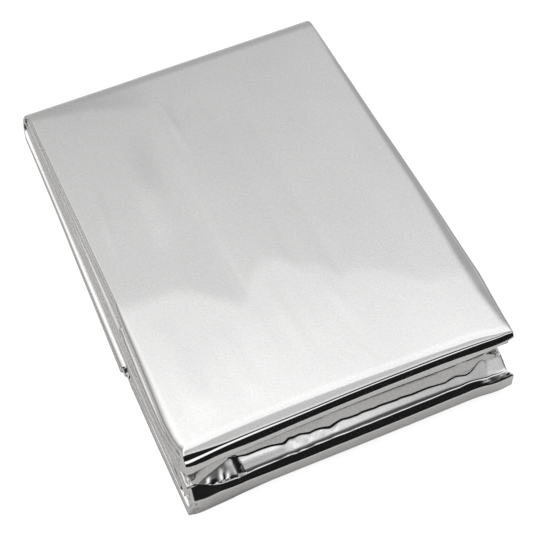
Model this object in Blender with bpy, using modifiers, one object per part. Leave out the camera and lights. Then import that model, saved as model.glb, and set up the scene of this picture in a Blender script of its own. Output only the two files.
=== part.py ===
"""Folded emergency foil blanket.

The blanket is one sheet of silvered film. It is folded across into a long strip of many
plies, and the strip is folded back and forth and shut like a book: three layers in an upper
lobe, three in a lower lobe, a tight spine at the back and two soft noses at the front.

The strip is modelled as one open surface, the outer face of the strip along its whole way,
and a Solidify modifier gives it the thickness of its plies. X runs along the front edge,
Y from front to back and Z up. The origin is the middle of the pack's outline, on the surface
that the pack lies on. Sizes below are in millimetres.
"""

import math
from typing import NamedTuple

import bmesh
import bpy

MM = 0.001

# Height of the pack at its two ends.
SPINE_HEIGHT = 8.0
FRONT_HEIGHT = 20.9

# The strip is pressed thin at the spine and stands open towards the front.
PRESSED_THICKNESS = 1.0
LOFTED_THICKNESS = 2.6
FREE_END_THICKNESS = 1.8
NOSE_THICKNESS = 1.1
PRESSED_GAP = 0.4

# The spine starts here at the left and right side, and is a half ellipse this deep.
SPINE_LEFT = 61.2
SPINE_RIGHT = 63.3
SPINE_DEPTH = 4.1
SPINE_SEGMENTS = 10
TURN_SEGMENTS = 5

# Heights of the folds of the two noses, from the top face down to the bottom.
CHAMFER_HEIGHT = 20.0
LIP_HEIGHT = 18.8
FOOT_HEIGHT = 17.2
UNDERSIDE_HEIGHT = 10.9
SHOULDER_HEIGHT = 10.2
VALLEY_HEIGHT = 8.9
CREST_HEIGHT = 9.4
TIP_HEIGHT = 7.4

# The layers that end short of the front are set back by these lengths.
UPPER_INNER_SET_BACK = 2.4
UNDERSIDE_SET_BACK = 2.5
SHOULDER_SET_BACK = 3.4
LOWER_INNER_SET_BACK = 2.4

# Share of a layer's length, from the spine, at which its stations lie. A fold that stands out
# at the left side ends between the two marked steps.
SPINE_END = 0.0
FLAP_END = 0.66
STEP_END = 0.68
BULGE_DEPTH = 0.84
LOFT_END = 0.93
FRONT_END = 1.0
DEPTH_STEPS = (SPINE_END, 0.22, 0.46, FLAP_END, STEP_END, BULGE_DEPTH, LOFT_END, FRONT_END)


class Column(NamedTuple):
    """Places along Y of the front folds, at one share of the width from left to right."""

    across: float
    crease: float
    chamfer: float
    lip: float
    foot: float
    valley: float
    crest: float
    tip: float
    bottom: float


COLUMNS = (
    Column(0.00, crease=-60.3, chamfer=-63.0, lip=-64.0, foot=-64.5,
           valley=-60.4, crest=-64.0, tip=-66.6, bottom=-66.3),
    Column(0.06, crease=-60.0, chamfer=-62.9, lip=-64.0, foot=-64.7,
           valley=-60.6, crest=-64.5, tip=-67.4, bottom=-66.9),
    Column(0.20, crease=-59.1, chamfer=-62.2, lip=-63.5, foot=-64.0,
           valley=-60.8, crest=-65.6, tip=-67.1, bottom=-66.0),
    Column(0.35, crease=-58.6, chamfer=-61.7, lip=-62.9, foot=-63.4,
           valley=-61.0, crest=-65.3, tip=-66.6, bottom=-65.1),
    Column(0.50, crease=-58.4, chamfer=-61.1, lip=-62.3, foot=-62.6,
           valley=-61.2, crest=-65.0, tip=-66.4, bottom=-64.8),
    Column(0.65, crease=-58.4, chamfer=-60.8, lip=-61.9, foot=-62.2,
           valley=-61.0, crest=-64.6, tip=-66.0, bottom=-64.3),
    Column(0.80, crease=-58.7, chamfer=-60.7, lip=-61.5, foot=-61.7,
           valley=-61.5, crest=-64.3, tip=-65.6, bottom=-63.7),
    Column(0.94, crease=-59.5, chamfer=-60.5, lip=-61.2, foot=-61.4,
           valley=-60.4, crest=-63.7, tip=-65.2, bottom=-63.4),
    Column(1.00, crease=-60.2, chamfer=-60.7, lip=-61.1, foot=-61.2,
           valley=-60.0, crest=-63.2, tip=-64.8, bottom=-63.6),
)


class Layer(NamedTuple):
    """One pass of the strip between the spine and the front.

    The outer face is the side of the strip that looks out of the pack. The other values are
    places along X of the two side edges, at the named shares of the layer's length.
    """

    face_at_spine: float
    face_at_front: float
    end_thickness: float
    left_back: float
    left_flap: float
    left_step: float
    left_front: float
    right_back: float
    right_bulge: float
    right_front: float


LAYER_PITCH = PRESSED_THICKNESS + PRESSED_GAP
TURN_HEIGHT = PRESSED_THICKNESS + LAYER_PITCH

TOP = Layer(
    face_at_spine=SPINE_HEIGHT, face_at_front=FRONT_HEIGHT, end_thickness=NOSE_THICKNESS,
    left_back=-42.2, left_flap=-42.5, left_step=-42.4, left_front=-42.9,
    right_back=44.6, right_bulge=46.3, right_front=44.7,
)
UPPER_INNER = Layer(
    face_at_spine=SPINE_HEIGHT - LAYER_PITCH, face_at_front=17.2,
    end_thickness=FREE_END_THICKNESS,
    left_back=-42.8, left_flap=-43.4, left_step=-43.2, left_front=-43.6,
    right_back=44.4, right_bulge=45.8, right_front=44.5,
)
UNDERSIDE = Layer(
    face_at_spine=SPINE_HEIGHT - LAYER_PITCH - TURN_HEIGHT, face_at_front=UNDERSIDE_HEIGHT,
    end_thickness=FREE_END_THICKNESS,
    left_back=-43.4, left_flap=-44.1, left_step=-43.8, left_front=-43.9,
    right_back=44.2, right_bulge=45.3, right_front=44.2,
)
SHOULDER = Layer(
    face_at_spine=LAYER_PITCH + TURN_HEIGHT, face_at_front=SHOULDER_HEIGHT,
    end_thickness=FREE_END_THICKNESS,
    left_back=-43.8, left_flap=-44.8, left_step=-44.2, left_front=-44.1,
    right_back=44.1, right_bulge=44.4, right_front=42.7,
)
LOWER_INNER = Layer(
    face_at_spine=LAYER_PITCH, face_at_front=3.7, end_thickness=FREE_END_THICKNESS,
    left_back=-44.5, left_flap=-45.7, left_step=-44.7, left_front=-44.6,
    right_back=44.2, right_bulge=44.8, right_front=44.1,
)
BOTTOM = Layer(
    face_at_spine=0.0, face_at_front=0.0, end_thickness=NOSE_THICKNESS,
    left_back=-45.0, left_flap=-46.3, left_step=-45.1, left_front=-44.9,
    right_back=44.5, right_bulge=45.2, right_front=44.7,
)


class Station(NamedTuple):
    """One point of the strip's outer face in a cut along Y and Z, with its side edges."""

    y: float
    z: float
    thickness: float
    left: float
    right: float


def blend(start, end, share):
    """Return the value at this share of the way from start to end."""
    return start + (end - start) * share


def blend_steps(depth, steps):
    """Return the value at this depth in (depth, value) steps that are in order."""
    for (depth_a, value_a), (depth_b, value_b) in zip(steps, steps[1:]):
        if depth <= depth_b:
            return blend(value_a, value_b, (depth - depth_a) / (depth_b - depth_a))
    return steps[-1][1]


def layer_thickness(layer, depth):
    """Return the strip's thickness, which grows from the spine and falls at the layer's end."""
    return blend_steps(depth, (
        (SPINE_END, PRESSED_THICKNESS),
        (LOFT_END, LOFTED_THICKNESS),
        (FRONT_END, layer.end_thickness),
    ))


def left_side(layer, depth):
    """Return the place of the layer's left edge."""
    return blend_steps(depth, (
        (SPINE_END, layer.left_back),
        (FLAP_END, layer.left_flap),
        (STEP_END, layer.left_step),
        (FRONT_END, layer.left_front),
    ))


def right_side(layer, depth):
    """Return the place of the layer's right edge."""
    return blend_steps(depth, (
        (SPINE_END, layer.right_back),
        (BULGE_DEPTH, layer.right_bulge),
        (FRONT_END, layer.right_front),
    ))


def spine_start(column):
    """Return the place along Y where the layers end and the spine begins."""
    return blend(SPINE_LEFT, SPINE_RIGHT, column.across)


def layer_run(layer, column, front):
    """Return a layer's stations, from the spine to this place along Y at the front."""
    return [
        Station(
            y=blend(spine_start(column), front, depth),
            z=blend(layer.face_at_spine, layer.face_at_front, depth),
            thickness=layer_thickness(layer, depth),
            left=left_side(layer, depth),
            right=right_side(layer, depth),
        )
        for depth in DEPTH_STEPS
    ]


def back_turn(first, second, reach, segments):
    """Return the stations of a round turn at the back, between the ends of two layers."""
    middle = (first.z + second.z) / 2
    half_height = (first.z - second.z) / 2
    stations = []
    for step in range(1, segments):
        share = step / segments
        angle = math.pi * share
        stations.append(Station(
            y=first.y + reach * math.sin(angle),
            z=middle + half_height * math.cos(angle),
            thickness=PRESSED_THICKNESS,
            left=blend(first.left, second.left, share),
            right=blend(first.right, second.right, share),
        ))
    return stations


def front_folds(start, end, folds):
    """Return the stations of a nose, from (y, z) folds between the ends of two layers."""
    stations = []
    for step, (y, z) in enumerate(folds, start=1):
        share = step / (len(folds) + 1)
        stations.append(Station(
            y=y,
            z=z,
            thickness=NOSE_THICKNESS,
            left=blend(start.left, end.left, share),
            right=blend(start.right, end.right, share),
        ))
    return stations


def strip_section(column):
    """Return the whole way of the strip in one cut, from one free end to the other."""
    top = layer_run(TOP, column, column.crease)
    upper_inner = layer_run(UPPER_INNER, column, column.crease + UPPER_INNER_SET_BACK)
    underside = layer_run(UNDERSIDE, column, column.crease + UNDERSIDE_SET_BACK)
    shoulder = layer_run(SHOULDER, column, column.valley + SHOULDER_SET_BACK)
    lower_inner = layer_run(LOWER_INNER, column, column.crest + LOWER_INNER_SET_BACK)
    bottom = layer_run(BOTTOM, column, column.bottom)
    turn_reach = TURN_HEIGHT / 2
    upper_nose = front_folds(underside[-1], top[-1], (
        (column.foot, FOOT_HEIGHT),
        (column.lip, LIP_HEIGHT),
        (column.chamfer, CHAMFER_HEIGHT),
    ))
    lower_nose = front_folds(bottom[-1], shoulder[-1], (
        (column.tip, TIP_HEIGHT),
        (column.crest, CREST_HEIGHT),
        (column.valley, VALLEY_HEIGHT),
    ))
    return (
        upper_inner[::-1]
        + back_turn(upper_inner[0], underside[0], turn_reach, TURN_SEGMENTS)
        + underside
        + upper_nose
        + top[::-1]
        + back_turn(top[0], bottom[0], SPINE_DEPTH, SPINE_SEGMENTS)
        + bottom
        + lower_nose
        + shoulder[::-1]
        + back_turn(shoulder[0], lower_inner[0], turn_reach, TURN_SEGMENTS)
        + lower_inner
    )


def folded_mesh(name):
    """Return the strip's outer face: a flat grid, folded so that each row lies at its station.

    The deform layer holds the thickness at each vertex as a share of the largest thickness.
    """
    sections = [strip_section(column) for column in COLUMNS]
    strip = bmesh.new()
    bmesh.ops.create_grid(
        strip,
        x_segments=len(COLUMNS) - 1,
        y_segments=len(sections[0]) - 1,
        size=1.0,
    )
    deform = strip.verts.layers.deform.verify()
    for number, vert in enumerate(strip.verts):
        row, place = divmod(number, len(COLUMNS))
        station = sections[place][row]
        x = blend(station.left, station.right, COLUMNS[place].across)
        vert.co = (x * MM, station.y * MM, station.z * MM)
        vert[deform][0] = station.thickness / LOFTED_THICKNESS
    data = bpy.data.meshes.new(name)
    strip.to_mesh(data)
    strip.free()
    return data


def silver_film():
    """Return the material of the metallised film."""
    material = bpy.data.materials.new("silver_film")
    material.use_nodes = True
    shader = material.node_tree.nodes["Principled BSDF"]
    shader.inputs["Base Color"].default_value = (0.78, 0.79, 0.80, 1.0)
    shader.inputs["Metallic"].default_value = 1.0
    shader.inputs["Roughness"].default_value = 0.15
    return material


def build_blanket(collection):
    """Add the folded strip to the collection, as one solid."""
    blanket = bpy.data.objects.new("foil_blanket", folded_mesh("foil_blanket"))
    collection.objects.link(blanket)
    blanket.data.materials.append(silver_film())
    blanket.vertex_groups.new(name="thickness")
    plies = blanket.modifiers.new("plies", "SOLIDIFY")
    plies.thickness = LOFTED_THICKNESS * MM
    plies.offset = -1.0
    plies.use_even_offset = True
    plies.use_quality_normals = True
    plies.vertex_group = "thickness"


def main():
    """Build the folded blanket in an empty scene."""
    for item in list(bpy.data.objects):
        bpy.data.objects.remove(item, do_unlink=True)
    collection = bpy.data.collections.new("foil_blanket")
    bpy.context.scene.collection.children.link(collection)
    build_blanket(collection)


main()
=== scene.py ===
"""Looks of the folded emergency foil blanket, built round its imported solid.

The blanket is one sheet of silvered film. Folded across into a strip of many plies, it runs back
and forth in six layers and shuts like a book, with a tight spine at the back and two soft noses
at the front. Lengths are in millimetres unless a name says otherwise, in the frame of the solid:
X along the front edge, Y from front to back, Z up.
"""

import logging
import math
from dataclasses import dataclass
from enum import Enum
from typing import NamedTuple

import bmesh
import bpy
import numpy as np
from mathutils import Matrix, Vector


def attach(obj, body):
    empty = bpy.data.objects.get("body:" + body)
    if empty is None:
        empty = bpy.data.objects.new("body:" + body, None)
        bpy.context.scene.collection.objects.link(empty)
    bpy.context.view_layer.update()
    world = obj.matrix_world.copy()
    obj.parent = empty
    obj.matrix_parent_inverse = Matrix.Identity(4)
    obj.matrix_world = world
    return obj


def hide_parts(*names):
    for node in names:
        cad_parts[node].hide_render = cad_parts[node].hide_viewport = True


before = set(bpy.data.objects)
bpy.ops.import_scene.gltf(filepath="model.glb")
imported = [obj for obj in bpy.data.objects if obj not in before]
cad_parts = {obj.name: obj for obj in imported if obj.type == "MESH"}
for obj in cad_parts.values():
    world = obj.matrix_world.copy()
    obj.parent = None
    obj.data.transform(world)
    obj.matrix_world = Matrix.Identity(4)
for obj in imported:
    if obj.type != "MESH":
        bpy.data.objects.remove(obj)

log = logging.getLogger("foil_blanket")

Floats = tuple[float, ...]
Pair = tuple[float, float]
Triple = tuple[float, float, float]
Rows = tuple[Floats, ...]

MM = 0.001
PHOTO_PIXELS = 535  # The photograph's width.
WELD_METRES = 1e-7
ROUNDING_LIMIT = 0.45  # The most of a facet that one fold's rounding takes.


def srgb(code: str) -> tuple[float, float, float, float]:
    """Turn a colour's hex code into linear values.

    Args:
        code: Six hex digits with a leading hash, as sRGB.

    Returns:
        Red, green, blue and alpha, linear, from 0 to 1.
    """
    parts = [int(code[place:place + 2], 16) / 255 for place in (1, 3, 5)]
    linear = [p / 12.92 if p <= 0.04045 else ((p + 0.055) / 1.055) ** 2.4 for p in parts]
    return (*linear, 1.0)


def add_node(tree: bpy.types.NodeTree, kind: str, links: dict | None = None,
             **settings: object) -> bpy.types.Node:
    """Add a node with its settings and its links.

    Args:
        tree: The tree that gets the node.
        kind: The shader node's type name, without its prefix.
        links: Input name or number to an output socket, or to a plain value.
        settings: The node's own properties.

    Returns:
        The new node.
    """
    node = tree.nodes.new("ShaderNode" + kind)
    for name, value in settings.items():
        setattr(node, name, value)
    for name, value in (links or {}).items():
        if isinstance(value, bpy.types.NodeSocket):
            tree.links.new(value, node.inputs[name])
        else:
            node.inputs[name].default_value = value
    return node


def set_ramp(node: bpy.types.Node, stops: list[tuple[float, tuple]]) -> None:
    """Give a colour ramp its stops.

    Args:
        node: The colour ramp.
        stops: Place from 0 to 1 and linear colour, in order.
    """
    ramp = node.color_ramp
    while len(ramp.elements) < len(stops):
        ramp.elements.new(1.0)
    for element, (place, colour) in zip(ramp.elements, stops):
        element.position = place
        element.color = colour


def through_points(places: Floats, values: Floats, at: np.ndarray) -> np.ndarray:
    """Draw a smooth line through a few points.

    Args:
        places: The points' places, rising.
        values: The value at each place.
        at: Where the line is wanted.

    Returns:
        The line's value at each of those places.
    """
    x, y = np.array(places, float), np.array(values, float)
    slope = np.gradient(y, x)
    k = np.clip(np.searchsorted(x, at) - 1, 0, len(x) - 2)
    step = x[k + 1] - x[k]
    t = np.clip((at - x[k]) / step, 0.0, 1.0)
    return (
        (2 * t**3 - 3 * t**2 + 1) * y[k]
        + (t**3 - 2 * t**2 + t) * step * slope[k]
        + (-2 * t**3 + 3 * t**2) * y[k + 1]
        + (t**3 - t**2) * step * slope[k + 1]
    )


def smooth_lines(fronts: tuple, x: np.ndarray) -> list[np.ndarray]:
    """Return a smooth line over the width for each value of a table, after its places across."""
    places, *columns = zip(*fronts)
    return [through_points(places, values, x) for values in columns]


def smooth_step(value: np.ndarray) -> np.ndarray:
    """Ease a value from 0 to 1 at both ends."""
    t = np.clip(value, 0.0, 1.0)
    return t * t * (3 - 2 * t)


def between(value: np.ndarray, start: float, end: float, ease: float) -> np.ndarray:
    """Return 1 between a start and an end, eased down to 0 at both."""
    return smooth_step((value - start) / ease) * smooth_step((end - value) / ease)


def softly_over(value: np.ndarray, softness: float) -> np.ndarray:
    """Return how far a value is above 0, with a soft start."""
    return np.logaddexp(0.0, value / softness) * softness


def mix(first: np.ndarray | float, last: np.ndarray | float, share: np.ndarray) -> np.ndarray:
    """Return what lies at a share of the way from the first value to the last."""
    return first + (last - first) * share


def table(kind: type, *rows: tuple) -> tuple:
    """Return one record of a kind for each row of values."""
    return tuple(kind(*row) for row in rows)


class Facing(Enum):
    """The way a layer's outer face looks."""

    UP = 1
    DOWN = -1


class Side(Enum):
    """A side of the strip, as the way that it faces along X."""

    LEFT = -1
    RIGHT = 1


class UpperFront(NamedTuple):
    """The upper lobe's front folds at one place across: places along Y, and the lip's foot."""

    across: float
    crease: float
    chamfer: float
    step: float
    ledge: float
    lip: float
    foot_height: float


class LowerFront(NamedTuple):
    """The lower lobe's front folds at one place across: places along Y, and heights."""

    across: float
    slope: float
    slope_fall: float
    crest: float
    fade_fall: float
    tip: float
    tip_height: float
    bottom: float


class CutEdge(NamedTuple):
    """A point of the film's wavy cut edge in the mouth between the two lobes.

    The edge's face falls by its step, and comes forward by as much.
    """

    across: float
    ahead: float
    step: float = 0.40
    height: float = 11.0


@dataclass(frozen=True)
class Edge:
    """A layer's side edge: its outermost places along the strip, and how each is rounded.

    The marks are shares of the layer's length from the spine to the front. The drop is the share
    of the thickness over which the rounding falls; below it the edge is a wall. A single number
    holds at every mark.
    """

    marks: Floats
    places: Floats
    rounding: Floats | float
    drop: Floats | float

    def at(self, depth: np.ndarray) -> np.ndarray:
        """Return the outermost place, rounding and drop at some shares of the length."""
        return np.stack([np.interp(depth, self.marks, np.broadcast_to(values, len(self.marks)))
                         for values in (self.places, self.rounding, self.drop)], -1)


@dataclass(frozen=True)
class Layer:
    """One pass of the strip: the height of its outer face, its depth of plies and its edges.

    The pairs hold for the spine and the front. A layer ends a little behind the fold that it
    goes over into, and the close rows are those that it gets beside the flap's end.
    """

    facing: Facing
    face: Pair
    plies: Pair
    left: Edge
    right: Edge
    behind: float = 0.0
    rows_close: int = 0


@dataclass(frozen=True)
class SoftFold:
    """A soft ridge or trough pressed into the film, between two places seen from above.

    The rise is its height at the start and the end. The fade is the share of its length over
    which each end dies away, and the flat is the share of its half width that stays level.
    """

    start: Pair
    end: Pair
    half_width: float
    rise: Pair
    fade: float = 0.25
    flat: float = 0.0

    def raised(self, x: np.ndarray, y: np.ndarray) -> np.ndarray:
        """Work out the fold's height.

        Args:
            x: Places along X.
            y: Places along Y.

        Returns:
            The height at each place, 0 away from the fold.
        """
        run_x, run_y = self.end[0] - self.start[0], self.end[1] - self.start[1]
        length = math.hypot(run_x, run_y)
        along = ((x - self.start[0]) * run_x + (y - self.start[1]) * run_y) / length**2
        aside = np.abs((x - self.start[0]) * run_y - (y - self.start[1]) * run_x) / length
        ends = between(along, 0.0, 1.0, self.fade)
        rise = mix(*self.rise, np.clip(along, 0.0, 1.0))
        share = (aside / self.half_width - self.flat) / (1 - self.flat)
        return rise * ends * (1 - smooth_step(share))


@dataclass(frozen=True)
class BendLine:
    """A bend across a face: behind the line the face keeps its slope, in front it falls more.

    The falls are how much more at the left and at the right.
    """

    points: Rows
    falls: Pair
    softness: float

    def raised(self, x: np.ndarray, y: np.ndarray, back: np.ndarray,
               front: np.ndarray) -> np.ndarray:
        """Work out the height that the bend adds, 0 at the face's back and front.

        Args:
            x: Places along X.
            y: Places along Y.
            back: The face's back edge along Y.
            front: The face's front edge along Y.

        Returns:
            The height at each place.
        """
        line = np.interp(x, *zip(*self.points))
        share = (x - self.points[0][0]) / (self.points[-1][0] - self.points[0][0])
        fall = mix(*self.falls, share)
        over = softly_over(line - y, self.softness)
        return fall * ((back - y) * (line - front) / (back - front) - over)


@dataclass(frozen=True)
class Pinch:
    """A crinkle: points near a short line in space are pushed one way."""

    start: Triple
    end: Triple
    reach: float
    push: Triple

    def moved(self, points: np.ndarray) -> np.ndarray:
        """Push the points near the line.

        Args:
            points: Points as (..., 3).

        Returns:
            The same points, pushed.
        """
        first, run = np.array(self.start), np.array(self.end) - np.array(self.start)
        along = np.clip(((points - first) @ run) / (run @ run), 0.0, 1.0)
        away = np.linalg.norm(points - first - along[..., None] * run, axis=-1)
        share = 1 - smooth_step(away / self.reach)
        return points + share[..., None] * np.array(self.push)


@dataclass(frozen=True)
class Fold:
    """One fold of a nose: how far its rounding reaches, and the rows that it gets."""

    rounding: float
    rows_round: int
    rows_after: int


@dataclass(frozen=True)
class NoseShape:
    """How a nose is folded and hollowed, and how its side edges run.

    It has a fold for each corner between the layers' ends. The turn gives the shares of the nose
    between which its right edge passes over to the lower layer's.
    """

    folds: tuple[Fold, ...]
    rows_first: int
    hollow: float
    left_reach: float
    right_reach: float
    turn: Pair
    left_drop: float = 0.5


class Run(NamedTuple):
    """A stretch of the strip: rows of points on both faces, with the side edges of each row.

    The edges are arrays of outermost place, rounding and drop.
    """

    outer: np.ndarray
    inner: np.ndarray
    left: np.ndarray
    right: np.ndarray

    def turned(self) -> "Run":
        """Return the stretch with its rows in the other order."""
        return Run(*(part[::-1] for part in self))


def rounded_way(points: np.ndarray, folds: tuple[Fold, ...], rows_first: int) -> np.ndarray:
    """Round off the folds of a way of straight facets.

    Args:
        points: Corner points, as corners by columns by (y, z).
        folds: One for each corner but the first and the last.
        rows_first: Rows on the first facet.

    Returns:
        Rows by columns by (y, z), from the first corner to the last.
    """
    rows = [points[0]]
    leave = points[0]
    count = rows_first
    for number, fold in enumerate(folds, start=1):
        here, back, ahead = points[number], points[number - 1], points[number + 1]
        to_back, to_ahead = back - here, ahead - here
        len_back = np.linalg.norm(to_back, axis=1, keepdims=True)
        len_ahead = np.linalg.norm(to_ahead, axis=1, keepdims=True)
        reach = np.minimum(fold.rounding, ROUNDING_LIMIT * np.minimum(len_back, len_ahead))
        start = here + to_back / len_back * reach
        end = here + to_ahead / len_ahead * reach
        for step in range(1, count + 1):
            rows.append(leave + (start - leave) * step / (count + 1))
        for step in range(fold.rows_round + 1):
            t = step / fold.rows_round
            rows.append((1 - t) ** 2 * start + 2 * t * (1 - t) * here + t * t * end)
        leave = end
        count = fold.rows_after
    for step in range(1, count + 1):
        rows.append(leave + (points[-1] - leave) * step / (count + 1))
    rows.append(points[-1])
    return np.array(rows)


def flat_places(left: np.ndarray, right: np.ndarray, shares: np.ndarray) -> np.ndarray:
    """Return where the columns of a stretch lie along X, between its two rounded edges."""
    start, end = left[:, 0] + left[:, 1], right[:, 0] - right[:, 1]
    return mix(start[:, None], end[:, None], shares)


@dataclass(frozen=True)
class FilmFinish:
    """Polyester film 12 micrometres thick, coated with aluminium vapour on both sides.

    The coat mirrors its surroundings, a little blurred, and the loose film has a fine unevenness
    that gives broad reflections a soft grain.
    """

    name: str = "aluminised_polyester_film"
    tone: str = "#F9F9F8"
    shade: str = "#E6E6E6"
    roughness: float = 0.13
    roughness_spread: float = 0.04
    # The real grain is too fine to show in the render, so it is drawn this coarse.
    grain_mm: float = 0.5
    grain_height_mm: float = 0.004
    grain_tint: float = 1.4
    drift_tint: float = 0.45
    drift_mm: float = 22.0
    drift_height_mm: float = 0.05

    def material(self) -> bpy.types.Material:
        """Build the film's material.

        Returns:
            The material, which reads Object coordinates.
        """
        made = bpy.data.materials.new(self.name)
        made.use_nodes = True
        tree = made.node_tree
        shader = tree.nodes["Principled BSDF"]
        shader.inputs["Metallic"].default_value = 1.0
        place = add_node(tree, "TexCoord").outputs["Object"]
        drift, grain = (add_node(tree, "TexNoise", {
            "Vector": place, "Scale": 1 / (size * MM), "Detail": detail, "Roughness": harshness,
        }).outputs["Fac"] for size, detail, harshness in (
            (self.drift_mm, 1.5, 0.4), (self.grain_mm, 2.0, 0.6)))
        specks = add_node(tree, "Math", {
            0: grain, 1: self.grain_tint, 2: 0.5 - (self.grain_tint + self.drift_tint) / 2,
        }, operation="MULTIPLY_ADD")
        uneven = add_node(tree, "Math", {
            0: drift, 1: self.drift_tint, 2: specks.outputs[0],
        }, operation="MULTIPLY_ADD", use_clamp=True)
        tint = add_node(tree, "Mix", {
            0: uneven.outputs[0], 6: srgb(self.tone), 7: srgb(self.shade),
        }, data_type="RGBA")
        tree.links.new(tint.outputs[2], shader.inputs["Base Color"])
        rough = add_node(tree, "MapRange", {
            "Value": drift, "From Min": 0.3, "From Max": 0.7,
            "To Min": self.roughness - self.roughness_spread / 2,
            "To Max": self.roughness + self.roughness_spread / 2,
        })
        tree.links.new(rough.outputs["Result"], shader.inputs["Roughness"])
        broad = add_node(tree, "Bump", {
            "Height": drift, "Strength": 1.0, "Distance": self.drift_height_mm * MM,
        })
        fine = add_node(tree, "Bump", {
            "Height": grain, "Strength": 1.0,
            "Distance": self.grain_height_mm * MM, "Normal": broad.outputs["Normal"],
        })
        tree.links.new(fine.outputs["Normal"], shader.inputs["Normal"])
        return made


@dataclass(frozen=True)
class FoldedBlanket:
    """The blanket: one strip of film plies, folded back and forth."""

    name: str = "folded_film"
    flat_width: float = 87.5
    pack_height: float = 20.9

    spine: Pair = (61.2, 63.3)  # The layers' back ends, left and right.
    spine_reach: float = 4.4
    spine_start: float = 0.16
    turn_reach: float = 2.4
    turn_gap: float = 0.08
    upper_shape: NoseShape = NoseShape(
        table(Fold, (0.3, 4, 4), (0.1, 2, 1), (0.05, 2, 1), (0.05, 2, 1), (0.08, 2, 3),
              (0.3, 4, 3), (0.4, 4, 4)), 2, 0.25, 0.6, 0.7, (0.74, 0.92))
    lower_shape: NoseShape = NoseShape(
        table(Fold, (0.3, 2, 5), (0.05, 2, 1), (0.05, 2, 5), (0.22, 3, 4), (0.05, 2, 1),
              (0.08, 2, 7), (0.5, 4, 5), (1.0, 4, 3), (0.3, 3, 1)), 1, 3.6, 1.6, 0.4, (0.5, 0.7))

    chamfer_fall: float = 0.436
    glint_width: float = 0.4
    glint_share: float = 0.3
    glint_fall: float = 0.385
    ledge_fall: float = 0.05
    lip_fall: float = 1.07
    foot_fall: float = 6.0
    bead: float = 0.11
    bead_rise: float = 0.05
    mouth_back: float = -58.6
    mouth_drop: float = 0.08
    mouth_opening: float = 2.0
    opening_from: float = 32.0
    opening_width: float = 5.0
    shoulder_front: float = -57.0
    belly_share: float = 0.42
    belly_back: float = 0.15
    corner_tuck: float = 1.0
    tuck_span: Pair = (0.42, 0.84)
    tuck_ease: float = 0.1
    # How far from the crest the folds behind it and before it begin, and reach full height.
    mouth_ease: Pair = (0.05, 0.35)
    tip_ease: Pair = (0.1, 0.2)

    # The side edges' small waves: share of the height, radians over the length, shift by layer.
    waves: Rows = ((1.0, 11.0, 2.1), (0.5, 29.0, 3.7))
    wave_height: float = 0.05
    wave_ease: float = 0.1

    rows_spine: int = 16
    rows_turn: int = 6
    rows_top: int = 96
    rows_layer: int = 12
    flap_end: Pair = (0.62, 0.71)
    mark_gap: float = 0.001
    # Stretches of the width, each with its count of columns.
    column_parts: Rows = ((0.0, 0.17, 40), (0.17, 0.88, 118), (0.88, 1.0, 27))
    columns_inner: int = 14
    edge_points: int = 7
    edge_foot: float = 0.12

    upper_fronts: tuple[UpperFront, ...] = table(
        UpperFront,
        (-43.5, -60.4, -61.5, -62.4, -63.0, -63.4, 16.0),
        (-41.3, -60.1, -61.4, -62.4, -63.1, -63.8, 15.8),
        (-38.7, -59.95, -61.5, -62.3, -62.9, -63.8, 16.2),
        (-33.4, -59.5, -61.6, -61.95, -62.45, -63.45, 16.6),
        (-25.4, -59.0, -61.3, -61.5, -61.95, -63.2, 16.75),
        (-12.1, -58.5, -60.85, -61.05, -61.35, -62.5, 16.7),
        (1.2, -58.35, -60.35, -60.55, -60.78, -61.95, 16.9),
        (14.6, -58.4, -60.05, -60.25, -60.48, -61.6, 16.9),
        (28.2, -58.55, -59.9, -60.1, -60.35, -61.45, 16.8),
        (36.3, -58.8, -60.05, -60.2, -60.4, -61.6, 17.4),
        (40.6, -59.5, -60.3, -60.42, -60.6, -61.7, 18.0),
        (43.0, -59.9, -60.3, -60.4, -60.6, -61.6, 18.6),
        (44.7, -60.4, -60.6, -60.7, -60.8, -61.4, 19.2),
    )

    lower_fronts: tuple[LowerFront, ...] = table(
        LowerFront,
        (-44.0, -64.3, 0.55, -64.4, 0.6, -67.0, 7.1, -66.1),
        (-41.0, -64.3, 0.55, -64.5, 0.6, -67.4, 6.8, -66.9),
        (-39.0, -64.9, 0.6, -65.3, 0.6, -67.5, 7.0, -66.9),
        (-36.5, -65.2, 0.6, -65.9, 0.6, -67.4, 7.3, -66.7),
        (-32.5, -65.1, 0.58, -65.75, 0.6, -67.3, 7.5, -66.4),
        (-30.0, -64.9, 0.42, -65.8, 0.62, -67.2, 7.5, -66.1),
        (-26.7, -64.8, 0.41, -65.6, 0.62, -67.15, 7.55, -65.8),
        (-13.4, -64.5, 0.385, -65.25, 0.61, -66.95, 7.6, -64.95),
        (0.0, -64.05, 0.385, -64.95, 0.61, -66.65, 7.74, -64.7),
        (13.6, -63.65, 0.405, -64.6, 0.62, -66.3, 7.85, -64.1),
        (27.2, -63.65, 0.44, -64.3, 0.64, -65.95, 8.2, -63.7),
        (35.8, -63.85, 0.45, -64.15, 0.68, -65.8, 8.1, -63.3),
        (40.0, -64.05, 0.46, -64.3, 0.75, -66.1, 8.2, -63.4),
        (42.6, -64.1, 0.46, -64.35, 0.75, -66.0, 8.4, -63.2),
        (44.7, -63.95, 0.46, -64.2, 0.75, -65.8, 8.5, -63.4),
    )

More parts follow.
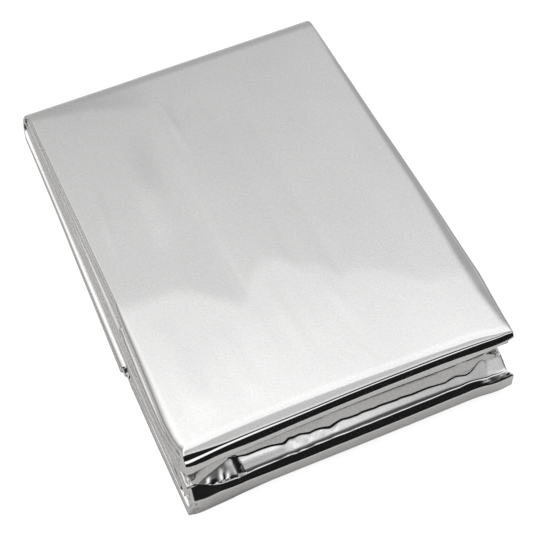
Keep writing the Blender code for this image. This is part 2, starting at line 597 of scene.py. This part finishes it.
    cut_edge: tuple[CutEdge, ...] = table(
        CutEdge,
        (-44.0, -64.8, 0.03, 10.1), (-41.0, -64.7, 0.03, 10.2), (-38.7, -63.8, 0.03, 10.7),
        (-36.0, -62.95, 0.03, 10.95), (-33.0, -61.9, 0.03), (-31.4, -61.3, 0.05),
        (-30.9, -60.9, 0.3), (-28.6, -61.35, 0.3), (-26.4, -61.7), (-22.4, -61.55),
        (-20.1, -61.65), (-18.6, -61.95), (-17.1, -62.2, 0.5), (-16.3, -62.0, 0.6),
        (-15.3, -61.4, 0.5), (-13.8, -61.6), (-12.4, -61.42), (-11.3, -61.65), (-9.8, -62.0),
        (-8.1, -61.78), (-6.5, -61.9, 0.45), (-4.5, -62.4, 0.55), (-2.5, -61.85, 0.45),
        (-0.9, -61.62), (0.8, -61.85), (3.2, -61.9), (4.8, -61.65), (8.1, -61.8), (9.4, -61.62),
        (13.9, -61.8), (15.2, -61.62), (18.2, -61.85), (22.6, -61.7, 0.35), (25.4, -61.95, 0.3),
        (27.3, -62.12, 0.3), (29.0, -61.7, 0.3), (30.6, -61.45, 0.3), (32.0, -61.8, 0.3),
        (33.3, -62.08, 0.3), (34.6, -61.75, 0.28), (35.9, -61.15, 0.22),
        (37.2, -60.3, 0.15, 11.05), (38.3, -59.9, 0.08, 11.1), (39.8, -60.3, 0.02, 11.15),
        (44.7, -60.4, 0.02, 11.15),
    )

    top: Layer = Layer(
        Facing.UP, (8.0, 20.9), (1.1, 3.4),
        Edge((0.0, 0.3, 0.598, 0.612, 0.75, 0.84, 0.92, 0.965, 1.0),
             (-42.4, -42.7, -42.85, -43.3, -43.95, -44.4, -44.8, -44.55, -43.8),
             (0.45, 0.45, 0.45, 1.2, 1.8, 2.2, 2.6, 2.3, 1.6),
             (0.35, 0.35, 0.35, 0.3, 0.33, 0.35, 0.35, 0.35, 0.35)),
        Edge((0.0, 0.5, 0.84, 1.0), (44.8, 45.8, 46.3, 45.05), (0.5, 0.7, 1.0, 1.0), 0.5),
        behind=0.8,
    )
    upper_inner: Layer = Layer(
        Facing.UP, (6.6, 17.2), (1.05, 3.0),
        Edge((0.0, 0.3, 0.635, 0.65, 0.75, 0.84, 0.92, 0.965, 1.0),
             (-42.65, -43.05, -43.35, -44.3, -44.85, -45.15, -45.2, -44.6, -43.8),
             (0.45, 0.45, 0.45, 1.0, 1.1, 1.1, 1.0, 0.9, 0.8), 0.35),
        Edge((0.0, 0.84, 1.0), (44.5, 45.8, 44.5), 0.3, 0.8),
        behind=0.6, rows_close=11,
    )
    underside: Layer = Layer(
        Facing.DOWN, (4.2, 10.9), (1.05, 3.0),
        Edge((0.0, 0.3, 0.66, 0.75, 0.84, 0.92, 0.965, 1.0),
             (-42.95, -43.4, -44.3, -44.6, -44.8, -44.95, -44.8, -44.5),
             (0.4, 0.4, 0.3, 0.3, 0.3, 0.3, 0.3, 0.3),
             (0.5, 0.5, 0.88, 0.88, 0.88, 0.88, 0.88, 0.6)),
        Edge((0.0, 0.84, 0.93, 1.0), (44.2, 45.2, 44.5, 42.4), 0.3, 0.8),
        behind=1.2, rows_close=11,
    )
    shoulder: Layer = Layer(
        Facing.UP, (3.8, 10.6), (1.05, 3.2),
        Edge((0.0, 0.3, 0.66, 0.69, 1.0), (-43.2, -43.7, -44.45, -44.5, -44.6),
             (0.4, 0.4, 0.3, 0.3, 1.3), (0.5, 0.5, 0.88, 0.88, 0.3)),
        Edge((0.0, 0.84, 1.0), (44.1, 44.2, 42.85), 0.3, 0.8),
    )
    lower_inner: Layer = Layer(
        Facing.DOWN, (1.4, 3.7), (1.05, 3.2),
        Edge((0.0, 0.3, 0.67, 0.7, 1.0), (-43.4, -43.95, -44.65, -44.8, -44.8),
             0.3, (0.88, 0.88, 0.88, 0.88, 0.6)),
        Edge((0.0, 0.84, 1.0), (44.2, 44.8, 44.1), 0.3, 0.8),
        behind=4.2,
    )
    bottom: Layer = Layer(
        Facing.DOWN, (0.0, 0.0), (1.1, 3.4),
        Edge((0.0, 0.2, 0.4, 0.655, 0.6585, 0.668, 0.6712, 0.7, 0.85, 1.0),
             (-44.4, -44.8, -45.35, -46.3, -45.65, -45.75, -45.2, -45.35, -45.2, -45.0),
             (0.3, 0.7, 1.0, 1.8, 1.6, 1.6, 1.2, 0.9, 0.5, 0.3),
             (0.4, 0.35, 0.3, 0.5, 0.5, 0.5, 0.5, 0.3, 0.3, 0.3)),
        Edge((0.0, 0.84, 1.0), (44.5, 45.2, 43.9), 0.4, 0.3),
        behind=1.5, rows_close=35,
    )

    top_bend: BendLine = BendLine(
        ((-43.0, -14.2), (-37.0, -14.4), (-28.0, -14.2), (-24.0, -16.0), (-19.5, -20.0),
         (-13.7, -25.5), (-11.5, -24.5), (-10.0, -20.0), (-7.0, -16.5), (-4.0, -14.5),
         (-2.0, -14.0), (2.0, -16.0), (4.7, -20.5), (8.0, -20.5), (11.3, -24.0),
         (13.0, -27.5), (16.3, -26.0), (21.3, -28.0), (26.3, -32.0), (31.3, -36.8),
         (40.5, -38.2), (47.0, -38.0)),
        (0.04, 0.014), 0.8,
    )
    # Places (x, y) across the back left corner, and how steeply the top falls behind each.
    back_corner: Rows = (
        (-43.0, 61.0, 0.08), (-25.3, 57.4, 0.03), (-10.3, 51.0, 0.012), (-4.0, 62.0, 0.0))
    # Places (-y, x) along the right edge, where the top begins to roll down.
    roll_line: Rows = (
        (-62.0, 44.6), (-46.0, 43.9), (-20.0, 43.6), (4.0, 43.6), (15.0, 43.3), (30.0, 42.6),
        (45.0, 42.4), (56.0, 43.4), (60.0, 45.0))
    roll_fall: float = 0.3
    roll_softness: float = 0.25

    # Broad waves of the top face first, then its small creases.
    top_folds: tuple[SoftFold, ...] = table(
        SoftFold,
        ((-6.2, 52.0), (-6.9, 28.0), 1.8, (0.09, 0.09), 0.5),
        ((-33.5, 30.0), (-38.4, -1.5), 1.6, (0.1, 0.1), 0.5),
        ((-17.5, 46.0), (-24.8, -4.0), 5.5, (0.22, 0.34), 0.55),
        ((-34.5, -18.0), (-34.5, -56.0), 5.0, (0.02, 0.1)),
        ((-22.0, -22.0), (-21.0, -56.0), 4.0, (0.0, 0.06)),
        ((-5.3, -18.0), (-4.0, -54.0), 3.2, (0.08, 0.0), 0.45),
        ((8.0, -21.0), (12.0, -52.0), 3.2, (0.06, 0.0), 0.45),
        ((-0.5, -17.0), (1.5, -50.0), 4.0, (0.0, 0.05), 0.45),
        ((7.4, -48.9), (10.6, -56.5), 0.5, (0.03, 0.03)),
        ((1.1, -46.0), (5.6, -55.6), 0.45, (0.02, 0.02)),
        ((31.1, -38.6), (38.8, -39.6), 0.5, (0.02, 0.02)),
        ((4.9, -47.4), (5.8, -49.8), 0.45, (0.03, 0.03)),
    )

    # Crinkles at the left, two broad swells, the right end, then the cut edge's ripples.
    mouth_folds: tuple[SoftFold, ...] = table(
        SoftFold,
        ((-34.7, -62.9), (-35.5, -66.6), 0.7, (0.0, 0.9), 0.08, 0.35),
        ((-33.2, -64.0), (-34.0, -66.4), 0.6, (0.0, 0.7), 0.1, 0.35),
        ((-38.2, -63.9), (-39.2, -66.4), 0.6, (0.0, 0.75), 0.1, 0.35),
        ((-36.9, -64.9), (-37.7, -66.0), 0.5, (-0.2, -0.3), 0.2, 0.2),
        ((-30.7, -60.7), (-30.2, -66.8), 0.9, (0.0, -2.4), 0.05, 0.5),
        ((-32.5, -61.4), (-32.4, -66.2), 1.3, (0.1, 0.16), 0.3, 0.1),
        ((-31.0, -63.1), (-17.0, -62.9), 1.6, (0.08, 0.08), 0.15),
        ((43.4, -59.8), (43.2, -65.4), 1.9, (-0.25, -0.6), 0.12),
        ((41.3, -58.6), (39.4, -64.6), 2.75, (-0.28, -0.02), 0.15, 0.85),
        ((-13.2, -61.3), (-12.2, -64.0), 0.5, (0.1, 0.06), 0.3),
        ((-10.6, -61.8), (-11.4, -64.0), 0.4, (-0.08, -0.05), 0.3),
        ((-15.6, -61.8), (-14.6, -64.2), 0.6, (-0.12, -0.05), 0.3),
        ((-7.9, -62.2), (-8.3, -64.0), 0.5, (0.07, 0.03), 0.3),
        ((-4.0, -62.4), (-5.0, -64.2), 0.6, (-0.1, -0.03), 0.3),
    )

    # Soft ridges in the dark tip, at the right.
    tip_folds: tuple[SoftFold, ...] = table(
        SoftFold,
        ((24.0, -65.5), (38.5, -65.0), 0.24, (0.04, 0.05), 0.15),
        ((40.6, -64.8), (40.4, -65.7), 0.4, (0.1, 0.08), 0.2),
        ((42.4, -64.6), (42.3, -65.2), 0.45, (0.2, 0.12), 0.2),
    )

    # Crinkles at the flap's end, the back left corner, and the front left of both lobes.
    pinches: tuple[Pinch, ...] = table(
        Pinch,
        ((-46.0, -22.6, 2.7), (-45.0, -23.4, 2.7), 1.2, (0.0, 0.2, -1.6)),
        ((-45.3, -24.6, 2.7), (-44.7, -25.3, 2.7), 0.9, (0.0, 0.2, -1.4)),
        ((-45.6, -21.2, 2.9), (-45.2, -21.7, 2.9), 0.5, (-0.2, 0.0, 0.5)),
        ((-43.0, -15.6, 16.0), (-43.3, -16.2, 15.2), 0.8, (0.25, 0.0, -0.7)),
        ((-43.9, -18.6, 13.2), (-43.9, -19.4, 12.6), 0.7, (0.3, 0.0, -0.6)),
        ((-43.0, 63.4, 6.6), (-43.4, 62.8, 5.2), 1.0, (0.6, -0.4, -1.1)),
        ((-44.2, 61.8, 3.0), (-44.2, 61.0, 2.4), 1.1, (0.5, 0.0, -1.2)),
        ((-43.4, -66.6, 5.6), (-43.0, -66.9, 5.2), 0.8, (0.4, 0.6, 0.0)),
        ((-44.2, -65.6, 4.4), (-43.9, -66.0, 3.9), 0.8, (0.6, 0.4, 0.0)),
        ((-43.4, -66.8, 3.0), (-43.0, -67.0, 2.6), 0.7, (0.3, 0.5, 0.0)),
        ((-44.6, -64.9, 6.2), (-44.5, -65.2, 5.4), 0.7, (0.6, 0.2, 0.0)),
        ((-44.0, -66.2, 1.8), (-43.6, -66.5, 1.4), 0.6, (0.4, 0.4, 0.0)),
        ((-42.7, -66.6, 7.0), (-42.9, -67.0, 1.5), 0.5, (0.2, 0.45, 0.0)),
        ((-43.6, -65.8, 6.5), (-43.5, -66.2, 1.0), 0.5, (-0.2, -0.45, 0.0)),
        ((-44.3, -65.0, 7.0), (-44.2, -65.5, 1.0), 0.5, (0.45, 0.35, 0.0)),
        ((-44.6, -63.8, 8.0), (-44.7, -64.3, 2.0), 0.5, (-0.3, -0.3, 0.3)),
        ((-42.0, -61.4, 10.9), (-42.6, -63.6, 10.3), 0.6, (0.0, 0.0, 0.7)),
        ((-41.2, -62.0, 10.8), (-41.9, -64.2, 10.2), 0.5, (0.0, 0.0, 0.45)),
        ((-43.2, -61.6, 10.6), (-43.6, -63.0, 10.2), 0.6, (0.2, 0.0, -0.7)),
        ((-43.0, -62.2, 18.8), (-42.3, -62.9, 18.4), 0.6, (0.0, 0.6, -0.2)),
        ((-44.0, -62.4, 17.2), (-43.0, -63.3, 16.4), 0.7, (0.0, 0.6, 0.3)),
        ((-43.9, -61.0, 16.4), (-44.0, -61.9, 15.6), 0.6, (-0.4, -0.2, -0.2)),
    )

    def columns(self) -> np.ndarray:
        """Return the shares of the width that get a column, closest at the two sides."""
        parts = [np.linspace(*part, endpoint=False) for part in self.column_parts]
        return np.concatenate([*parts, [1.0]])

    def depths(self, layer: Layer) -> np.ndarray:
        """Choose the shares of a layer's length that get a row.

        Args:
            layer: The layer.

        Returns:
            The shares, rising: even for the top, and closer at some places for the others.
        """
        if layer is self.top:
            return np.linspace(0.0, 1.0, self.rows_top)
        even = np.linspace(0.0, 1.0, self.rows_layer)
        marks = np.array(layer.left.marks[1:-1])
        close = np.linspace(*self.flap_end, layer.rows_close)
        rows = np.concatenate([even, close, marks, marks - self.mark_gap, marks + self.mark_gap])
        return np.unique(rows.round(4))  # Rows that nearly meet become one.

    def sides(self, layer: Layer, depth: np.ndarray) -> tuple[np.ndarray, np.ndarray]:
        """Work out a layer's side edges, a little wavy.

        Args:
            layer: The layer.
            depth: Shares of its length from the spine.

        Returns:
            Left and right edge, each as rows of outermost place, rounding and drop.
        """
        wave = between(depth, 0.0, 1.0, self.wave_ease) * sum(
            share * np.sin(rate * depth + shift * layer.face[0])
            for share, rate, shift in self.waves)
        left, right = layer.left.at(depth), layer.right.at(depth)
        left[:, 0] += self.wave_height * wave
        right[:, 0] -= self.wave_height * wave
        return left, right

    def top_relief(self, x: np.ndarray, y: np.ndarray, back: np.ndarray,
                   front: np.ndarray) -> np.ndarray:
        """Work out the top face's bends and soft folds.

        Args:
            x: Places along X.
            y: Places along Y.
            back: The face's back edge along Y.
            front: The face's front edge along Y.

        Returns:
            The height that they add.
        """
        raised = self.top_bend.raised(x, y, back, front)
        places, corner, fall = zip(*self.back_corner)
        behind = np.maximum(0.0, y - np.interp(x, places, corner))
        raised = raised - np.interp(x, places, fall) * behind
        roll = np.interp(-y, *zip(*self.roll_line))
        raised = raised - self.roll_fall * softly_over(x - roll, self.roll_softness)
        for fold in self.top_folds:
            raised = raised + fold.raised(x, y)
        return raised

    def layer_run(self, layer: Layer, fold: np.ndarray, shares: np.ndarray) -> Run:
        """Lay out one layer from the spine to the front.

        Args:
            layer: The layer.
            fold: Where the fold that it goes over into lies along Y, at each column.
            shares: The columns' shares of the width.

        Returns:
            The layer's stretch of the strip.
        """
        depth = self.depths(layer)
        spine, front = mix(*self.spine, shares), fold + layer.behind
        y = mix(spine, front, depth[:, None])
        face, plies = mix(*layer.face, depth), mix(*layer.plies, depth)
        z = np.repeat(face[:, None], len(shares), axis=1)
        inner_z = z - layer.facing.value * plies[:, None]
        left, right = self.sides(layer, depth)
        if layer is self.top:
            x = flat_places(left, right, shares)
            z = z + self.top_relief(x, y, spine, front)
        return Run(np.stack([y, z], -1), np.stack([y, inner_z], -1), left, right)

    def back_turn(self, upper: Run, lower: Run, reach: float, rows: int,
                  start: float = 0.0) -> Run:
        """Turn the strip round at the back, from one layer down to another.

        Args:
            upper: The layer that the turn leaves, its first row at the back.
            lower: The layer that it goes on to, its first row at the back.
            reach: How far the outer face stands out behind the layers' ends.
            rows: How many rows the turn gets.
            start: The angle at which it leaves the upper layer, in radians.

        Returns:
            The turn's stretch of the strip.
        """
        share = np.linspace(0.0, 1.0, rows + 2)[1:-1]
        rest = 1 - share[:, None]
        angle = start + (math.pi - start) * share[:, None]

        def arc(first: np.ndarray, last: np.ndarray, out: float) -> np.ndarray:
            """Draw half an ellipse from a first row of points to a last one."""
            middle, half = (first + last) / 2, (first[:, 1] - last[:, 1]) / 2
            y = middle[:, 0] + (first[:, 0] - last[:, 0]) / 2 * np.cos(math.pi * (1 - rest))
            y = y + out * (np.sin(angle) - math.sin(start) * rest)
            z = middle[:, 1] + half * (np.cos(angle) + (1 - math.cos(start)) * rest)
            return np.stack([y, z], -1)

        plies = abs(upper.outer[0, 0, 1] - upper.inner[0, 0, 1])
        outer = arc(upper.outer[0], lower.outer[0], reach)
        inner = arc(upper.inner[0], lower.inner[0], max(reach - plies, self.turn_gap))
        left = mix(upper.left[0], lower.left[0], share[:, None])
        right = mix(upper.right[0], lower.right[0], share[:, None])
        return Run(outer, inner, left, right)

    def nose(self, upper: Run, lower: Run, corners: list[tuple], shape: NoseShape) -> Run:
        """Fold the strip over at the front, from one layer's front down to another's.

        Args:
            upper: The layer above, its last row at the front.
            lower: The layer below, its last row at the front.
            corners: The nose's corners, each as places along Y and heights.
            shape: The folds, the hollow and the side edges.

        Returns:
            The nose's stretch of the strip, from the upper layer to the lower one.
        """
        way = [upper.outer[-1], *(np.stack(corner, -1) for corner in corners), lower.outer[-1]]
        outer = rounded_way(np.array(way), shape.folds, shape.rows_first)[1:-1]
        share = np.linspace(0.0, 1.0, len(outer) + 2)[1:-1]
        swell = np.sin(math.pi * share) ** 0.5
        inner = mix(upper.inner[-1], lower.inner[-1], share[:, None, None])
        inner[..., 0] -= shape.hollow * swell[:, None]
        over = smooth_step((share - shape.turn[0]) / (shape.turn[1] - shape.turn[0]))
        left = mix(upper.left[-1], lower.left[-1], share[:, None])
        right = mix(upper.right[-1], lower.right[-1], over[:, None])
        left[:, 1] += (shape.left_reach - left[:, 1]) * swell
        left[:, 2] += (shape.left_drop - left[:, 2]) * swell
        right[:, 1] += (shape.right_reach - right[:, 1]) * swell
        return Run(outer, inner, left, right)

    def upper_nose(self, top: Run, underside: Run, x: np.ndarray) -> Run:
        """Fold the upper lobe's front: crease, chamfer, ply's edge, dark lip and foot.

        Args:
            top: The top layer.
            underside: The upper lobe's lowest layer.
            x: The columns' places along X.

        Returns:
            The nose, from the top layer to the underside.
        """
        crease, chamfer, step, ledge, lip, foot_height = smooth_lines(self.upper_fronts, x)
        glint = chamfer + np.minimum(self.glint_width, self.glint_share * (crease - chamfer))
        glint_height = self.pack_height - self.chamfer_fall * (crease - glint)
        chamfer_height = glint_height - self.glint_fall * (glint - chamfer)
        step_height = chamfer_height - (chamfer - step)
        ledge_height = step_height - self.ledge_fall * (step - ledge)
        lip_height = ledge_height - self.lip_fall * (ledge - lip)
        foot = lip - (lip_height - foot_height) / self.foot_fall
        return self.nose(top, underside, [
            (crease, np.full_like(x, self.pack_height)), (glint, glint_height),
            (chamfer, chamfer_height), (step, step_height), (ledge, ledge_height),
            (lip, lip_height), (foot, foot_height),
        ], self.upper_shape)

    def lower_nose(self, shoulder: Run, bottom: Run, x: np.ndarray) -> Run:
        """Fold the lower lobe's front: cut edge, bright slope, crest, dark tip and foot.

        Args:
            shoulder: The lower lobe's uppermost layer.
            bottom: The bottom layer.
            x: The columns' places along X.

        Returns:
            The nose, from the shoulder to the bottom layer.
        """
        slope, slope_fall, crest, fade_fall, tip, tip_height, foot = smooth_lines(
            self.lower_fronts, x)
        places, *columns = zip(*self.cut_edge)
        edge, step, height = (np.interp(x, places, values) for values in columns)
        slope_height = height - step - slope_fall * (edge - step - slope)
        crest_height = slope_height - fade_fall * (slope - crest)
        run = self.nose(shoulder, bottom, [
            (np.full_like(x, self.mouth_back), height - self.mouth_drop), (edge, height),
            (edge - step, height - step), (slope, slope_height),
            (crest + self.bead, crest_height + self.bead_rise), (crest - self.bead, crest_height),
            (tip, tip_height), (tip + self.belly_back, tip_height * self.belly_share),
            (foot, np.zeros_like(x)),
        ], self.lower_shape)
        share = np.linspace(0.0, 1.0, len(run.outer))
        run.left[:, 0] += self.corner_tuck * between(share, *self.tuck_span, self.tuck_ease)
        across = flat_places(run.left, run.right, self.columns())
        y, z = run.outer[..., 0], run.outer[..., 1]
        start, ease = self.mouth_ease
        raised = sum(fold.raised(across, y) for fold in self.mouth_folds)
        z = z + raised * smooth_step((y - crest - start) / ease)
        start, ease = self.tip_ease
        raised = sum(fold.raised(across, y) for fold in self.tip_folds)
        run.outer[..., 1] = z + raised * smooth_step((crest - start - y) / ease)
        return run

    def strip(self, shares: np.ndarray) -> Run:
        """Lay out the whole strip, from its free end in the upper lobe to the lower one.

        Args:
            shares: The columns' shares of the width.

        Returns:
            All rows of the strip in order.
        """
        front = np.ones(1)
        x = flat_places(self.top.left.at(front), self.top.right.at(front), shares)[0]
        crease = smooth_lines(self.upper_fronts, x)[0]
        _, _, crest, _, _, _, foot = smooth_lines(self.lower_fronts, x)
        opening = self.mouth_opening * smooth_step((x - self.opening_from) / self.opening_width)
        top, upper_inner, underside, shoulder, lower_inner, bottom = (
            self.layer_run(layer, fold, shares) for layer, fold in (
                (self.top, crease), (self.upper_inner, crease), (self.underside, crease + opening),
                (self.shoulder, np.full_like(x, self.shoulder_front)),
                (self.lower_inner, crest), (self.bottom, foot)))
        runs = (
            upper_inner.turned(),
            self.back_turn(upper_inner, underside, self.turn_reach, self.rows_turn),
            underside,
            self.upper_nose(top, underside, x).turned(),
            top.turned(),
            self.back_turn(top, bottom, self.spine_reach, self.rows_spine, self.spine_start),
            bottom,
            self.lower_nose(shoulder, bottom, x).turned(),
            shoulder.turned(),
            self.back_turn(shoulder, lower_inner, self.turn_reach, self.rows_turn),
            lower_inner,
        )
        return Run(*(np.concatenate(parts) for parts in zip(*runs)))

    def side_edge(self, first: np.ndarray, last: np.ndarray, shape: np.ndarray,
                  side: Side) -> np.ndarray:
        """Round a side edge from one face over to the other, with a wall between.

        Args:
            first: The outer face's point at the edge, in each row.
            last: The inner face's point at the edge, in each row.
            shape: The edge's outermost place, rounding and drop, in each row.
            side: The side that it is on.

        Returns:
            Rows by points by (x, y, z), from the outer face to the inner one.
        """
        drop = shape[:, 2:3]
        turn = np.linspace(0.0, math.pi / 2, self.edge_points)[1:]
        upper_fall, upper_out = drop * (1 - np.cos(turn)), np.sin(turn)
        turn = turn[::-1][1:]
        lower_fall, lower_out = 1 - self.edge_foot * (1 - np.cos(turn)), np.sin(turn)
        fall = np.concatenate([upper_fall, np.repeat(lower_fall[None], len(drop), 0)], 1)
        out = np.repeat(np.concatenate([upper_out, lower_out])[None], len(drop), 0)
        under = first[:, 2] < last[:, 2]
        fall[under] = 1 - fall[under, ::-1]
        out[under] = out[under, ::-1]
        points = mix(first[:, None], last[:, None], fall[..., None])
        points[..., 0] = first[:, None, 0] + side.value * shape[:, 1:2] * out
        return points

    def rings(self) -> np.ndarray:
        """Work out the closed ring of points round the strip at each row.

        Returns:
            Rows by ring by (x, y, z), in millimetres. The last point of a ring is its first.
        """
        shares = self.columns()
        run = self.strip(shares)
        outer = np.concatenate([
            flat_places(run.left, run.right, shares)[..., None], run.outer], -1)
        back = np.linspace(1.0, 0.0, self.columns_inner)
        pick = np.interp(back, shares, np.arange(len(shares)))
        low = np.clip(pick.astype(int), 0, len(shares) - 2)
        part = (pick - low)[None, :, None]
        inner_yz = run.inner[:, low] * (1 - part) + run.inner[:, low + 1] * part
        inner = np.concatenate([
            flat_places(run.left, run.right, back)[..., None], inner_yz], -1)
        right_edge = self.side_edge(outer[:, -1], inner[:, 0], run.right, Side.RIGHT)
        left_edge = self.side_edge(outer[:, 0], inner[:, -1], run.left, Side.LEFT)[:, ::-1]
        rings = np.concatenate([outer, right_edge, inner, left_edge, outer[:, :1]], 1)
        for pinch in self.pinches:
            rings = pinch.moved(rings)
        rings[..., 2] = np.maximum(rings[..., 2], 0.0)
        return rings

    def flat_length(self) -> float:
        """Return the strip's length laid flat, measured along its middle, in millimetres."""
        middle = self.strip(self.columns()).outer[:, len(self.columns()) // 2]
        return float(np.linalg.norm(np.diff(middle, axis=0), axis=1).sum())

    def build(self) -> bpy.types.Object:
        """Fold a flat grid into the strip and close it into one thin body.

        Returns:
            The piece, in place.
        """
        rings = self.rings() * MM
        rows, around = rings.shape[:2]
        film = bmesh.new()
        bmesh.ops.create_grid(film, x_segments=around - 1, y_segments=rows - 1, size=1.0)
        for vert, place in zip(film.verts, rings.reshape(-1, 3)):
            vert.co = place
        bmesh.ops.remove_doubles(film, verts=film.verts, dist=WELD_METRES)
        open_edges = [edge for edge in film.edges if edge.is_boundary]
        bmesh.ops.holes_fill(film, edges=open_edges, sides=0)
        bmesh.ops.recalc_face_normals(film, faces=film.faces)
        data = bpy.data.meshes.new(self.name)
        film.to_mesh(data)
        film.free()
        data.shade_smooth()
        piece = bpy.data.objects.new(self.name, data)
        bpy.context.scene.collection.objects.link(piece)
        return piece

    def dress(self, piece: bpy.types.Object, finish: FilmFinish) -> None:
        """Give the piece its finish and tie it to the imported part.

        Args:
            piece: The folded film.
            finish: Its finish.
        """
        piece.data.materials.append(finish.material())
        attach(piece, "root")
        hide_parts("foil_blanket")


@dataclass(frozen=True)
class Studio:
    """A plain pale floor under soft light, with a dark room in front of the table."""

    half_metres: float = 1.6
    floor_tone: str = "#C4C4C4"
    floor_glow: float = 0.88
    card_tone: str = "#ECEBEA"
    card_glow: float = 0.04
    card_drop_metres: float = 0.0002
    # Degrees up from the horizon in front, over to the one behind, and the light from there.
    sheet: Rows = (
        (0.0, 0.01), (44.0, 0.012), (50.0, 0.05), (54.0, 0.12), (57.0, 0.18), (60.0, 0.26),
        (63.0, 0.36), (66.0, 0.48), (68.0, 0.53), (70.0, 0.58), (72.0, 0.66), (74.0, 0.8),
        (76.0, 0.95), (78.0, 1.05), (80.0, 1.1), (118.0, 1.1), (122.0, 1.16), (126.0, 1.16),
        (128.0, 1.11), (129.0, 1.06), (130.0, 0.985), (130.8, 0.93), (132.3, 0.89),
        (133.9, 0.85), (135.6, 0.755), (137.2, 0.735), (139.3, 0.705), (140.7, 0.67),
        (142.1, 0.625), (147.0, 0.47), (160.0, 0.46), (180.0, 0.46),
    )
    # How far to the right the light comes from, -1 to 1, and how it is tinted there.
    flanks: tuple[tuple[float, Triple], ...] = (
        (-0.95, (0.62, 0.61, 0.595)), (-0.75, (0.7, 0.69, 0.675)), (-0.55, (0.81, 0.8, 0.785)),
        (-0.35, (0.96, 0.95, 0.935)), (-0.15, (1.08, 1.075, 1.06)), (0.03, (1.06, 1.06, 1.055)),
        (0.12, (0.995, 0.995, 0.995)), (0.72, (0.85, 0.85, 0.855)), (0.8, (0.6, 0.6, 0.61)),
        (0.88, (0.2, 0.2, 0.205)), (0.96, (0.06, 0.06, 0.062)),
    )

    def light_dome(self) -> None:
        """Light the scene from all round: dark in front, a broad bright sheet overhead."""
        world = bpy.data.worlds.new("studio_light")
        bpy.context.scene.world = world
        world.use_nodes = True
        tree = world.node_tree
        tree.nodes.clear()
        way = add_node(tree, "TexCoord").outputs["Generated"]
        parts = add_node(tree, "SeparateXYZ", {0: way})
        forward = add_node(tree, "Math", {0: parts.outputs["Y"], 1: -1.0}, operation="MULTIPLY")
        angle = add_node(tree, "Math", {0: parts.outputs["Z"], 1: forward.outputs[0]},
                         operation="ARCTAN2")
        share = add_node(tree, "Math", {0: angle.outputs[0], 1: math.pi}, operation="DIVIDE")
        sheet = add_node(tree, "ValToRGB", {0: share.outputs[0]})
        set_ramp(sheet, [(degrees / 180, (level, level, level, 1.0))
                         for degrees, level in self.sheet])
        side = add_node(tree, "MapRange", {
            "Value": parts.outputs["X"], "From Min": -1.0, "From Max": 1.0,
        })
        flank = add_node(tree, "ValToRGB", {0: side.outputs["Result"]})
        set_ramp(flank, [((place + 1) / 2, (*colour, 1.0)) for place, colour in self.flanks])
        both = add_node(tree, "Mix", {
            0: 1.0, 6: sheet.outputs["Color"], 7: flank.outputs["Color"],
        }, data_type="RGBA", blend_type="MULTIPLY")
        light = add_node(tree, "Background", {"Color": both.outputs[2], "Strength": 1.0})
        add_node(tree, "OutputWorld", {"Surface": light.outputs[0]})

    def plane(self, name: str, height: float, tone: str, glow: float) -> bpy.types.Object:
        """Lay a large plain sheet of matt card.

        Args:
            name: The object's name.
            height: Its height in metres.
            tone: Its colour as hex.
            glow: Light that it gives by itself.

        Returns:
            The plane.
        """
        sheet = bmesh.new()
        bmesh.ops.create_grid(sheet, x_segments=1, y_segments=1, size=self.half_metres)
        bmesh.ops.translate(sheet, verts=sheet.verts, vec=(0.0, 0.0, height))
        data = bpy.data.meshes.new(name)
        sheet.to_mesh(data)
        sheet.free()
        made = bpy.data.materials.new(name)
        made.use_nodes = True
        shader = made.node_tree.nodes["Principled BSDF"]
        for field, value in {
            "Base Color": srgb(tone), "Roughness": 0.9, "Specular IOR Level": 0.0,
            "Emission Color": (1.0, 1.0, 1.0, 1.0), "Emission Strength": glow,
        }.items():
            shader.inputs[field].default_value = value
        data.materials.append(made)
        plane = bpy.data.objects.new(name, data)
        bpy.context.scene.collection.objects.link(plane)
        return plane

    def build(self) -> None:
        """Lay the floor, and the card that the film mirrors in its place."""
        floor = self.plane("floor", 0.0, self.floor_tone, self.floor_glow)
        card = self.plane("floor_card", -self.card_drop_metres, self.card_tone, self.card_glow)
        for plane, unseen in ((floor, "glossy"), (card, "camera")):
            for ray in (unseen, "diffuse", "shadow"):
                setattr(plane, f"visible_{ray}", False)
        self.light_dome()


@dataclass(frozen=True)
class PhotoCamera:
    """The photograph's viewpoint, from a fit of the pack's corners."""

    azimuth: float = -22.8
    elevation: float = 55.28
    distance: float = 482.8
    target: Triple = (1.5, -5.85, 0.0)
    focal_pixels: float = 1800.0
    sensor: float = 36.0
    clip_metres: Pair = (0.02, 20.0)

    def build(self) -> bpy.types.Object:
        """Set up the camera.

        Returns:
            The scene's camera.
        """
        turn, rise = math.radians(self.azimuth), math.radians(self.elevation)
        back = Vector((math.sin(turn) * math.cos(rise), -math.cos(turn) * math.cos(rise),
                       math.sin(rise)))
        data = bpy.data.cameras.new("camera")
        data.lens = self.focal_pixels / PHOTO_PIXELS * self.sensor
        data.sensor_width = self.sensor
        data.clip_start, data.clip_end = self.clip_metres
        camera = bpy.data.objects.new("camera", data)
        camera.location = (Vector(self.target) + back * self.distance) * MM
        camera.rotation_mode = "QUATERNION"
        camera.rotation_quaternion = (-back).to_track_quat("-Z", "Y")
        bpy.context.scene.collection.objects.link(camera)
        bpy.context.scene.camera = camera
        return camera


def main() -> None:
    """Build the camera, the blanket and the studio, and log the strip's flat size and face count.
    """
    logging.basicConfig(level=logging.INFO, format="%(name)s: %(message)s")
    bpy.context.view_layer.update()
    bpy.context.scene.view_settings.view_transform = "Standard"
    PhotoCamera().build()
    blanket = FoldedBlanket()
    piece = blanket.build()
    blanket.dress(piece, FilmFinish())
    flat = (blanket.flat_width * MM, blanket.flat_length() * MM)
    log.info("strip laid flat: %.3f x %.3f m", *flat)
    log.info("%s: %d faces", piece.name, len(piece.data.polygons))
    Studio().build()


if __name__ == "__main__":
    main()
